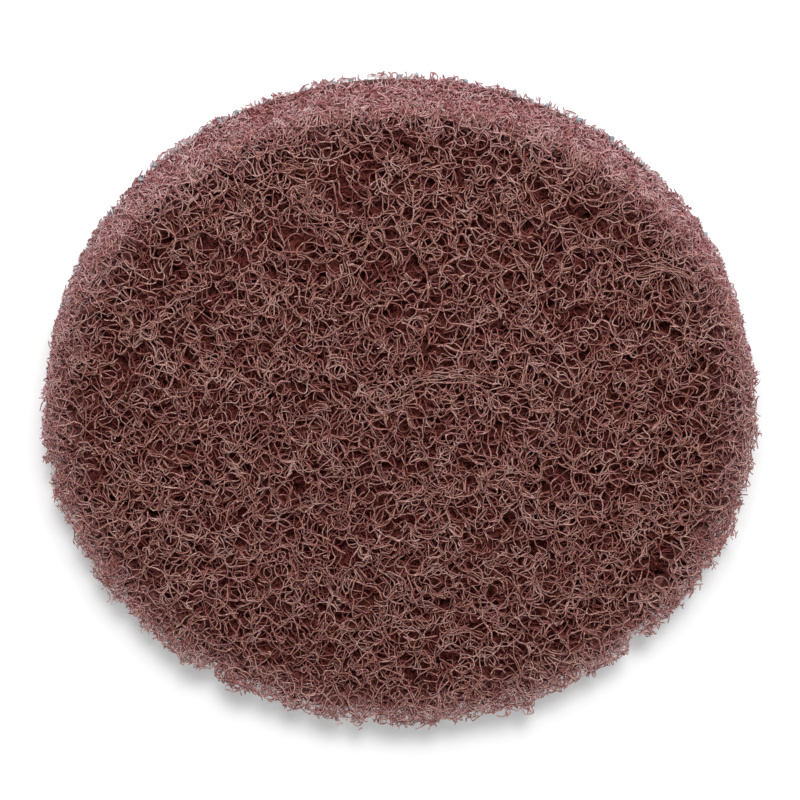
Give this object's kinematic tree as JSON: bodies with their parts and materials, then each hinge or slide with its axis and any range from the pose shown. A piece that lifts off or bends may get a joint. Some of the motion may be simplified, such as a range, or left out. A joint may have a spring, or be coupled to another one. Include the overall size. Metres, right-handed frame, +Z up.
{
  "type": "surface conditioning disc",
  "caption": "Round lofty non-woven abrasive pad with an open, crimped-fibre face, a die-cut rim and a thin flat scrim backing for a backup pad.",
  "frame": {"origin": "centre of the backing's underside", "axes": "+Z up out of the abrasive face, X and Y across the disc"},
  "size_m": [0.0508, 0.0508, 0.0063],
  "materials": {
    "abrasive_web": "matte resin-coated fibre, reddish brown",
    "backing_scrim": "matte woven scrim, blue-grey"
  },
  "bodies": {
    "root": {"abrasive_web": "abrasive_web", "backing_scrim": "backing_scrim"}
  },
  "joints": []
}
